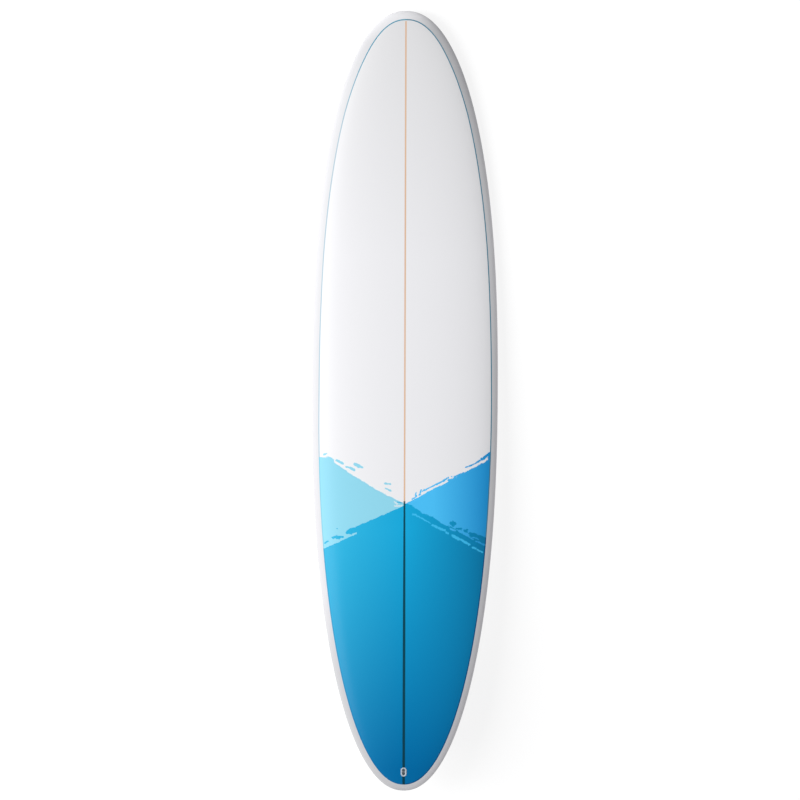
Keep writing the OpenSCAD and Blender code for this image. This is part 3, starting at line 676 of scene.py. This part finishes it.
def metal_material(name, code, rough, grain_mm):
    """Turned metal: bright, with fine tool marks."""
    material, tree = new_material(name)
    where = add(tree, "ShaderNodeTexCoord").outputs["Object"]
    scale = 1 / (grain_mm * MM)
    marks = add(tree, "ShaderNodeTexNoise", into={"Vector": where, "Scale": scale, "Detail": 4.0})
    base = linear(code)
    tint = coated(tree, [c * 0.85 for c in base], (marks, base))
    gloss = add(tree, "ShaderNodeMapRange", marks, 0.3, 0.7, rough - 0.06, rough + 0.08)
    bump = add(tree, "ShaderNodeBump", into={"Height": marks, "Strength": 0.15, "Distance": 0.1 * MM})
    shader = add(tree, "ShaderNodeBsdfPrincipled", into={
        "Base Color": tint, "Metallic": 1.0, "Roughness": gloss, "Normal": bump})
    add(tree, "ShaderNodeOutputMaterial", shader)
    return material


def foam_material(name, code, bead_mm):
    """Cut foam: packed beads with dark joints between them."""
    material, tree = new_material(name)
    where = add(tree, "ShaderNodeTexCoord").outputs["Object"]
    beads = add(tree, "ShaderNodeTexVoronoi", into={"Vector": where, "Scale": 1 / (bead_mm * MM)})
    base = linear(code)
    tint = coated(tree, base, (beads, [c * 0.8 for c in base]))
    bump = add(tree, "ShaderNodeBump", into={"Height": beads, "Strength": 0.4, "Distance": 1 * MM})
    finish = {"Base Color": tint, "Roughness": 0.9, "Normal": bump}
    shader = add(tree, "ShaderNodeBsdfPrincipled", into=finish)
    add(tree, "ShaderNodeOutputMaterial", shader)
    return material


def wood_material(colours):
    """Basswood strip: straight grain along the board, a quarter millimetre fine and drawn at 1.2 mm."""
    material, tree = new_material("Basswood stringer")
    xyz = add(tree, "ShaderNodeSeparateXYZ", add(tree, "ShaderNodeTexCoord").outputs["Object"])
    grain, tint = wood_grain(tree, xyz.outputs[2], xyz.outputs[1], 1 / (1.2 * MM), colours.wood)
    bump = add(tree, "ShaderNodeBump", into={"Height": grain, "Strength": 0.2, "Distance": 0.3 * MM})
    finish = {"Base Color": tint, "Roughness": 0.65, "Normal": bump}
    shader = add(tree, "ShaderNodeBsdfPrincipled", into=finish)
    add(tree, "ShaderNodeOutputMaterial", shader)
    return material


# ---- Pieces ----

def skin_values(material):
    """The hull's sizes under the names of the laminate's inputs, such as "Nose Rocker" for nose_rocker."""
    s, rest = bpy.context.scene.hull_sizes, rest_frame()
    sizes = {key.replace("_", " ").title(): getattr(s, key) for key in HullSizes.__annotations__}
    return {**sizes, "Rest Turn": rest.to_euler().x, "Rest Y": rest.translation.y,
            "Rest Z": rest.translation.z, "Material": material}


def skin_tree(side, labels):
    """The laminate as a closed shell: one grid runs over the outside from rail to rail and back inside."""
    tree, i = new_tree("Deck laminate" if side > 0 else "Bottom laminate", labels)
    across, along = 112, 232  # points of the grid from rail to rail, and from end to end
    grid = add(tree, "GeometryNodeMeshGrid", 1.0, 1.0, 2 * across + 1, along)
    start = add(tree, "ShaderNodeSeparateXYZ", add(tree, "GeometryNodeInputPosition"))
    column = ("ROUND", ("MULTIPLY", ("ADD", start.outputs[0], 0.5), 2.0 * across))
    step = add(tree, "MODULO", column, 2.0 * across)
    outer = add(tree, "LESS_THAN", step, across - 0.5)
    inner = add(tree, "SUBTRACT", 1.0, outer)
    there = ("MULTIPLY", outer, ("DIVIDE", step, across - 1.0))
    gone = ("DIVIDE", ("SUBTRACT", step, float(across)), across - 1.0)
    back = ("MULTIPLY", inner, ("SUBTRACT", 1.0, gone))
    # From -1 at one rail to 1 at the other, with the points drawn close together at the rails
    c = ("SUBTRACT", ("MULTIPLY", ("ADD", there, back), 2.0), 1.0)
    quarter = math.pi / 2
    v = add(tree, "SINE", ("MULTIPLY", ("SINE", ("MULTIPLY", c, quarter)), quarter))
    far = add(tree, "ABSOLUTE", v)

    half = add(tree, "MULTIPLY", i["Length"], 0.5)
    turn = ("MULTIPLY", ("ADD", start.outputs[1], 0.5), math.pi)
    y = add(tree, "MULTIPLY", ("MULTIPLY", half, -float(side)), ("COSINE", turn))
    wide = add(tree, "SUBTRACT", half, ("MULTIPLY", i["Wide Share"], i["Length"]))
    ahead = add(tree, "GREATER_THAN", y, wide)

    def by_end(nose, tail):
        return ("ADD", tail, ("MULTIPLY", ahead, ("SUBTRACT", nose, tail)))

    reach = ("MAXIMUM", ("DIVIDE", ("SUBTRACT", y, wide), ("SUBTRACT", half, wide)),
             ("DIVIDE", ("SUBTRACT", wide, y), ("ADD", half, wide)))
    full = ("POWER", ("MINIMUM", reach, 1.0), by_end(i["Nose Fullness"], i["Tail Fullness"]))
    blunt = by_end(i["Nose Roundness"], i["Tail Roundness"])
    width = add(tree, "MULTIPLY", ("MULTIPLY", i["Width"], 0.5),
                ("POWER", ("MAXIMUM", ("SUBTRACT", 1.0, full), 0.0), blunt))
    noseward = ("DIVIDE", ("SUBTRACT", y, i["Flat Y"]), ("SUBTRACT", half, i["Flat Y"]))
    tailward = ("DIVIDE", ("SUBTRACT", i["Flat Y"], y), ("ADD", half, i["Flat Y"]))
    nose = ("POWER", ("MAXIMUM", noseward, 0.0), i["Nose Lift"])
    tail = ("POWER", ("MAXIMUM", tailward, 0.0), i["Tail Lift"])
    keel = ("ADD", ("MULTIPLY", nose, i["Nose Rocker"]), ("MULTIPLY", tail, i["Tail Rocker"]))
    foil = ("POWER", ("DIVIDE", ("ABSOLUTE", y), half), i["Foil Fullness"])
    thick = add(tree, "MULTIPLY", i["Thickness"],
                ("POWER", ("MAXIMUM", ("SUBTRACT", 1.0, foil), 0.0), i["Foil Roundness"]))
    if side > 0:
        part, flat, blunt_rail = ("SUBTRACT", 1.0, i["Rail Share"]), i["Deck Fullness"], i["Deck Fullness"]
    else:
        part, flat, blunt_rail = i["Rail Share"], i["Bottom Fullness"], i["Tuck Roundness"]
    level = ("MAXIMUM", ("SUBTRACT", 1.0, ("POWER", far, flat)), 0.0)
    profile = ("POWER", level, ("DIVIDE", 1.0, blunt_rail))
    height = add(tree, "MULTIPLY", thick, part)

    def thinner(whole):
        """What is left inside the laminate, as a share of a half width or height, and at least a tenth."""
        kept = ("MAXIMUM", ("SUBTRACT", 1.0, ("DIVIDE", i["Skin"], ("MAXIMUM", whole, 1e-5))), 0.1)
        return ("ADD", outer, ("MULTIPLY", inner, kept))

    shorter = ("ADD", outer, ("MULTIPLY", inner, 0.995))  # the inside ends 6 mm short of nose and tail
    rise = ("MULTIPLY", ("MULTIPLY", height, thinner(height)), profile)
    apex = ("ADD", keel, ("MULTIPLY", thick, i["Rail Share"]))
    point = add(tree, "ShaderNodeCombineXYZ", ("MULTIPLY", v, ("MULTIPLY", width, thinner(width))),
                ("MULTIPLY", y, shorter), ("ADD", apex, ("MULTIPLY", rise, float(side))))
    shaped = add(tree, "GeometryNodeSetPosition", grid, into={"Position": point})
    merged = add(tree, "GeometryNodeMergeByDistance", shaped, into={"Distance": 1e-6})
    placed = add(tree, "GeometryNodeTransform", merged, into={
        "Translation": add(tree, "ShaderNodeCombineXYZ", 0.0, i["Rest Y"], i["Rest Z"]),
        "Rotation": add(tree, "ShaderNodeCombineXYZ", i["Rest Turn"], 0.0, 0.0)})
    end_tree(tree, placed, i["Material"])
    return tree


def mark_board(obj):
    """Keeps each point's place on the board and its distance from the outline, for the paint."""
    back = np.array(rest_frame().inverted())
    co = np.zeros(len(obj.data.vertices) * 3)
    obj.data.vertices.foreach_get("co", co)
    own = co.reshape(-1, 3) @ back[:3, :3].T + back[:3, 3]
    place = obj.data.attributes.new("board_mm", "FLOAT_VECTOR", "POINT")
    place.data.foreach_set("vector", (own / MM).astype(np.float32).ravel())
    inset = obj.data.attributes.new("inset_mm", "FLOAT", "POINT")
    inset.data.foreach_set("value", (rim_inset(own[:, 0], own[:, 1]) / MM).astype(np.float32))
    return obj


def laminate(name, side, material):
    values = skin_values(material)
    return grown(name, skin_tree(side, [label for label in values if label != "Material"]), values)


def pocket(straight, radius, low, high, place):
    rings = [[place @ p for p in round_ended_ring(straight, radius, z)] for z in (low, high)]
    return ring_mesh(rings, "pocket")


class SURFBOARD_OT_hull(bpy.types.Operator):
    """The laminate of deck and bottom, with the pockets for the fittings"""
    bl_idname = "surfboard.hull"
    bl_label = "Glass the hull"

    def execute(self, context):
        colours, f = context.scene.board_colours, context.scene.fitting_sizes
        rest = rest_frame()
        deck = laminate("deck_laminate", 1, deck_material(colours))
        flange_lap = 1.9 * MM  # how far the plug's flange laps over the edge of its pocket
        straight = f.leash_length - f.leash_width
        below, above = -18 * MM, 8 * MM  # from the deck to the ends of the cut, past both of its faces
        cut(deck, [pocket(straight, f.leash_width / 2 - flange_lap, below, above, rest @ leash_frame())])
        mark_board(shade(deck))
        finish_piece(deck, "board", "deck_laminate", "deck_skin")

        bottom = laminate("bottom_laminate", -1, bottom_material(colours))
        below, above = -8 * MM, 10 * MM  # from the bottom to the ends of the cuts, past both of its faces
        straight = f.track_length - f.track_width
        holes = [pocket(straight, f.track_width / 2 + GLUE, below, above, rest @ track_frame())]
        round_hole = 0.0001 * MM  # with nearly no straight part, a pocket is round
        for sign in (-1, 1):
            for end in (-1, 1):
                place = rest @ side_frame(sign) @ Matrix.Translation((0, end * f.tab_spacing / 2, 0))
                holes.append(pocket(round_hole, f.plug_diameter / 2 + GLUE, below, above, place))
        cut(bottom, holes)
        mark_board(shade(bottom))
        finish_piece(bottom, "board", "bottom_laminate", "bottom_skin")
        return {"FINISHED"}


class SURFBOARD_OT_leash_plug(bpy.types.Operator):
    """The moulded cup that the leash's bar crosses"""
    bl_idname = "surfboard.leash_plug"
    bl_label = "Set the leash plug"

    def execute(self, context):
        f, colours = context.scene.fitting_sizes, context.scene.board_colours
        straight, rim = f.leash_length - f.leash_width, f.leash_width / 2 / MM
        wall, hole = rim - 2.0, rim - 4.5
        # The section's radius and height in millimetres, from under the cup round its rim to its floor
        section = [(wall - 1, -17), (wall - 0.3, -16.7), (wall, -16), (wall, -0.6), (rim, -0.6),
                   (rim, 0.1), (rim - 0.15, 0.5), (rim - 0.45, 0.8), (rim - 0.9, 0.97), (hole + 1.3, 1.0),
                   (hole + 0.7, 0.86), (hole + 0.25, 0.5), (hole, 0), (hole, -13.2), (hole - 0.4, -14.1),
                   (hole - 1.3, -14.5)]
        place = rest_frame() @ leash_frame()
        rings = [[place @ p for p in round_ended_ring(straight, r * MM, z * MM)] for r, z in section]
        cup = shade(new_object("leash_cup_moulding", ring_mesh(rings, "leash_cup_moulding")), 40)
        cup.data.materials.append(moulded_material("Moulded polycarbonate plug", colours.plug, 0.35, 0.6))
        finish_piece(cup, "board", "cup_plastic", "leash_cup")
        return {"FINISHED"}


def blade_tree():
    """A fin's blade: a grid wrapped round a foil and drawn down a swept, rounded outline."""
    labels = ["Base", "Depth", "Sweep", "Root Thickness", "Tip Thickness", "Near Share", "Root"]
    tree, i = new_tree("Fin blade", labels)
    around, down = 72, 76  # points of the grid round the foil, and from root to tip
    grid = add(tree, "GeometryNodeMeshGrid", 1.0, 1.0, around + 1, down)
    start = add(tree, "ShaderNodeSeparateXYZ", add(tree, "GeometryNodeInputPosition"))
    row = add(tree, "ROUND", ("MULTIPLY", ("ADD", start.outputs[1], 0.5), down - 1.0))
    # The first row closes the root, the second is the root's edge, and the rest run down to the tip
    go = ("DIVIDE", ("MAXIMUM", ("SUBTRACT", row, 2.0), 0.0), down - 3.0)
    s = add(tree, "SINE", ("MULTIPLY", go, math.pi / 2))
    far = add(tree, "MULTIPLY", s, TIP_SHARE)
    turn = ("MULTIPLY", ("ADD", start.outputs[0], 0.5), 2 * math.pi)
    turn = add(tree, "FLOORED_MODULO", turn, 2 * math.pi - 1e-4)
    u = add(tree, "MULTIPLY", ("SUBTRACT", 1.0, ("COSINE", turn)), 0.5)
    near = add(tree, "LESS_THAN", turn, math.pi)
    open_row = ("GREATER_THAN", row, 0.5)
    tapered = ("MULTIPLY", i["Base"], ("SUBTRACT", 1.0, ("MULTIPLY", far, TAPER)))
    rounded = ("SQRT", ("MAXIMUM", ("SUBTRACT", 1.0, ("POWER", s, TIP_POWER)), 0.0))
    chord = add(tree, "MULTIPLY", ("MULTIPLY", tapered, rounded), open_row)
    middle = ("MULTIPLY", ("MULTIPLY", i["Sweep"], -1.0), ("POWER", far, SWEEP_POWER))
    # The foil is four fifths a drop, thickest a third of the way back, and one fifth an ellipse
    drop = ("MULTIPLY", ("MULTIPLY", ("SQRT", u), ("SUBTRACT", 1.0, u)), 0.8 * 1.5 * math.sqrt(3))
    ellipse = ("MULTIPLY", ("SQRT", ("MAXIMUM", ("MULTIPLY", u, ("SUBTRACT", 1.0, u)), 0.0)), 0.2 * 2)
    thinning = ("MULTIPLY", far, ("SUBTRACT", i["Tip Thickness"], i["Root Thickness"]))
    closing = ("POWER", ("MAXIMUM", ("SUBTRACT", 1.0, ("POWER", s, 8.0)), 0.0), 0.5)
    thick = ("MULTIPLY", ("ADD", i["Root Thickness"], thinning), ("MULTIPLY", open_row, closing))
    sided = ("SUBTRACT", ("MULTIPLY", ("SUBTRACT", 1.0, near), ("SUBTRACT", 1.0, i["Near Share"])),
             ("MULTIPLY", near, i["Near Share"]))
    x = ("MULTIPLY", ("MULTIPLY", thick, ("ADD", drop, ellipse)), sided)
    y = ("ADD", middle, ("MULTIPLY", chord, ("SUBTRACT", 0.5, u)))
    in_root = ("LESS_THAN", row, 1.5)
    z = ("SUBTRACT", ("MULTIPLY", in_root, i["Root"]), ("MULTIPLY", i["Depth"], far))
    point = add(tree, "ShaderNodeCombineXYZ", x, y, z)
    shaped = add(tree, "GeometryNodeSetPosition", grid, into={"Position": point})
    merged = add(tree, "GeometryNodeMergeByDistance", shaped, into={"Distance": 2e-6})
    end_tree(tree, merged, i["Material"])
    return tree


def rounded_block(low, high, edge):
    """A block between two corners with its edges rounded, as a mesh."""
    work = bmesh.new()
    bmesh.ops.create_cube(work, size=1)
    low, high = Vector(low), Vector(high)
    for vert in work.verts:
        vert.co = Vector((low[k] + (vert.co[k] + 0.5) * (high[k] - low[k]) for k in range(3)))
    everywhere = work.edges[:] + work.verts[:]
    bmesh.ops.bevel(work, geom=everywhere, offset=edge, segments=3, affect="EDGES", profile=0.5)
    mesh = bpy.data.meshes.new("block")
    work.to_mesh(mesh)
    work.free()
    return mesh


def outward(obj):
    """Turns the faces of a closed piece outwards."""
    work = bmesh.new()
    work.from_mesh(obj.data)
    bmesh.ops.recalc_face_normals(work, faces=work.faces)
    work.to_mesh(obj.data)
    work.free()
    return obj


class SURFBOARD_OT_fins(bpy.types.Operator):
    """The centre fin and the two side fins, each a moulded blade with its tabs"""
    bl_idname = "surfboard.fins"
    bl_label = "Fit the fins"

    def execute(self, context):
        f, colours = context.scene.fitting_sizes, context.scene.board_colours
        tree, rest = blade_tree(), rest_frame()
        plastic = moulded_material("Moulded glass-filled nylon", colours.fins, 0.28, 0.8)

        def fin(name, blade, tabs, place, body, node):
            obj = grown(name, tree, {**blade, "Material": plastic})
            obj.data = joined(name, [obj.data, *tabs])
            obj.data.materials.append(plastic)
            obj.data.transform(rest @ place)
            shade(outward(obj), 40)
            return finish_piece(obj, body, "fin_plastic", node)

        # The centre fin's tab runs in the track's slot, and a ledge ahead of it takes the screw
        half, tab_end, tab_depth = 4.7 * MM, 70 * MM, 18.5 * MM
        tab = rounded_block((-half, -tab_end, 0), (half, tab_end, tab_depth), 0.5 * MM)
        ledge = rounded_block((-half, 69 * MM, 5.2 * MM), (half, 92 * MM, 10.2 * MM), 0.3 * MM)
        fin("centre_fin_moulding",
            {"Base": f.fin_base, "Depth": f.fin_depth, "Sweep": f.fin_sweep, "Root Thickness": 9 * MM,
             "Tip Thickness": 3 * MM, "Near Share": 0.5, "Root": 1 * MM},
            [tab, ledge], track_frame(), "centre_fin", "centre_fin")
        # A side fin's two tabs are rooted 0.5 mm in its base, which stands 1 mm off the board. Its inner
        # face is the flatter one
        half, half_length, root, tab_depth = 3.2 * MM, 7.5 * MM, 0.5 * MM, 14.5 * MM
        for sign, side in ((-1, "left"), (1, "right")):
            tabs = []
            for middle in (-f.tab_spacing / 2, f.tab_spacing / 2):
                low, high = (-half, middle - half_length, -root), (half, middle + half_length, tab_depth)
                tabs.append(rounded_block(low, high, 0.4 * MM))
            place = side_frame(sign) @ Matrix.Translation((0, 0, -1 * MM))
            fin(f"side_fin_{side}_moulding",
                {"Base": f.side_base, "Depth": f.side_depth, "Sweep": f.side_sweep,
                 "Root Thickness": 6.4 * MM, "Tip Thickness": 2.4 * MM,
                 "Near Share": 0.3 if sign > 0 else 0.7, "Root": 0.0},
                tabs, place, f"side_fin_{side}", f"side_fin_{side}")
        return {"FINISHED"}


class SURFBOARD_OT_fittings(bpy.types.Operator):
    """The finish of the track, plugs, screws, pins, foam and stringer"""
    bl_idname = "surfboard.fittings"
    bl_label = "Finish the fittings"

    def execute(self, context):
        colours = context.scene.board_colours
        black = moulded_material("Moulded glass-filled polycarbonate", colours.plastic, 0.42, 0.6)
        steel = metal_material("Stainless steel, turned", "#b9bcbf", 0.28, 0.5)
        brass = metal_material("Brass, drawn", "#c9a45c", 0.3, 0.5)
        foam = foam_material("Expanded polystyrene foam", "#eef0ee", 3.0)
        dense = foam_material("High-density foam", "#d9cba6", 0.8)
        wood = wood_material(colours)
        finishes = {
            "core_left": foam, "core_right": foam, "stringer": wood, "track_block": dense,
            "fin_track": black, "leash_bar": steel, "fin_plate": steel, "fin_screw": steel,
            "fin_cross_pin": brass}
        for name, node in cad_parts.items():
            finish = finishes.get(name)
            if name.startswith("plug_block"):
                finish = dense
            elif name.startswith("plug_"):
                finish = black
            elif name.startswith("grub_"):
                finish = steel
            for place in node.material_slots if finish else ():
                place.material = finish
        return {"FINISHED"}


class SURFBOARD_OT_stage(bpy.types.Operator):
    """A pale floor, soft light from the left, and a camera square to the deck"""
    bl_idname = "surfboard.stage"
    bl_label = "Set the stage"

    def execute(self, context):
        scene = context.scene
        reach = 30  # metres from the floor's middle to its edges
        corners = [(-reach, -reach, 0), (reach, -reach, 0), (reach, reach, 0), (-reach, reach, 0)]
        mesh = bpy.data.meshes.new("floor")
        mesh.from_pydata(corners, [], [(0, 1, 2, 3)])
        floor = new_object("floor", mesh)
        material, tree = new_material("Matt white floor")
        shader = add(tree, "ShaderNodeBsdfPrincipled", into={
            "Base Color": (*linear("#888888"), 1.0), "Roughness": 0.9, "Specular IOR Level": 0.2,
            "Emission Color": (1.0, 1.0, 1.0, 1.0), "Emission Strength": 0.78})
        add(tree, "ShaderNodeOutputMaterial", shader)
        mesh.materials.append(material)

        world = bpy.data.worlds.new("Soft room")
        scene.world = world
        world.use_nodes = True
        world.node_tree.nodes.clear()
        # Walls brightest left of the nose and dimmest right of it, and a dim ceiling, which keeps the paint
        # clear under its gloss
        ceiling, wall, from_right, towards_nose = 0.33, 0.44, 0.22, 0.9
        way = add(world.node_tree, "ShaderNodeTexCoord").outputs["Generated"]
        x, y, z = add(world.node_tree, "ShaderNodeSeparateXYZ", way).outputs
        level = ("SUBTRACT", 1.0, ("MULTIPLY", z, z))
        bright = ("SUBTRACT", wall, ("MULTIPLY", x, ("ADD", from_right, ("MULTIPLY", y, towards_nose))))
        strength = ("ADD", ceiling, ("MULTIPLY", level, bright))
        back = add(world.node_tree, "ShaderNodeBackground", (*linear("#fcfcfe"), 1.0), strength)
        add(world.node_tree, "ShaderNodeOutputWorld", back)

        place = Vector((-5.2, 0.4, 4.7))
        data = bpy.data.lights.new("key_from_the_left", "AREA")
        data.shape = "RECTANGLE"
        data.size, data.size_y, data.energy = 3.5, 7.0, 530  # metres and watts
        key = bpy.data.objects.new("key_from_the_left", data)
        scene.collection.objects.link(key)
        aim = (-place).to_track_quat("-Z", "Y")
        key.matrix_world = Matrix.Translation(place) @ aim.to_matrix().to_4x4()

        scene.view_settings.view_transform = "Standard"
        data = bpy.data.cameras.new("camera")
        camera = bpy.data.objects.new("camera", data)
        scene.collection.objects.link(camera)
        scene.camera = camera
        away, deck_height, frame_width = 14.0, 0.06, 2.5065  # metres
        lean = math.radians(0.175)
        data.sensor_width = 36
        data.lens = data.sensor_width * (away - deck_height) / frame_width
        data.clip_end = 100
        view = Matrix.Translation((-15.0 * MM, 4.5 * MM, away)) @ Matrix.Rotation(lean, 4, "Z")
        camera.matrix_world = rest_frame() @ view
        return {"FINISHED"}


class SURFBOARD_PT_panel(bpy.types.Panel):
    bl_idname = "SURFBOARD_PT_panel"
    bl_label = "Surfboard"
    bl_space_type = "VIEW_3D"
    bl_region_type = "UI"
    bl_category = "Surfboard"

    def draw(self, context):
        for group in (context.scene.hull_sizes, context.scene.fitting_sizes, context.scene.board_colours):
            box = self.layout.box()
            for key in group.__annotations__:
                box.prop(group, key)
        for operator in OPERATORS:
            self.layout.operator(operator.bl_idname)


GROUPS = {"hull_sizes": HullSizes, "fitting_sizes": FittingSizes, "board_colours": BoardColours}
OPERATORS = (SURFBOARD_OT_stage, SURFBOARD_OT_hull, SURFBOARD_OT_leash_plug, SURFBOARD_OT_fins,
             SURFBOARD_OT_fittings)


def register():
    for cls in (*GROUPS.values(), *OPERATORS, SURFBOARD_PT_panel):
        bpy.utils.register_class(cls)
    for name, group in GROUPS.items():
        setattr(bpy.types.Scene, name, bpy.props.PointerProperty(type=group))


def unregister():
    for name in GROUPS:
        delattr(bpy.types.Scene, name)
    for cls in reversed((*GROUPS.values(), *OPERATORS, SURFBOARD_PT_panel)):
        bpy.utils.unregister_class(cls)


def main():
    register()
    bpy.ops.surfboard.stage()
    bpy.ops.surfboard.hull()
    bpy.ops.surfboard.leash_plug()
    bpy.ops.surfboard.fins()
    bpy.ops.surfboard.fittings()


if __name__ == "__main__":
    main()
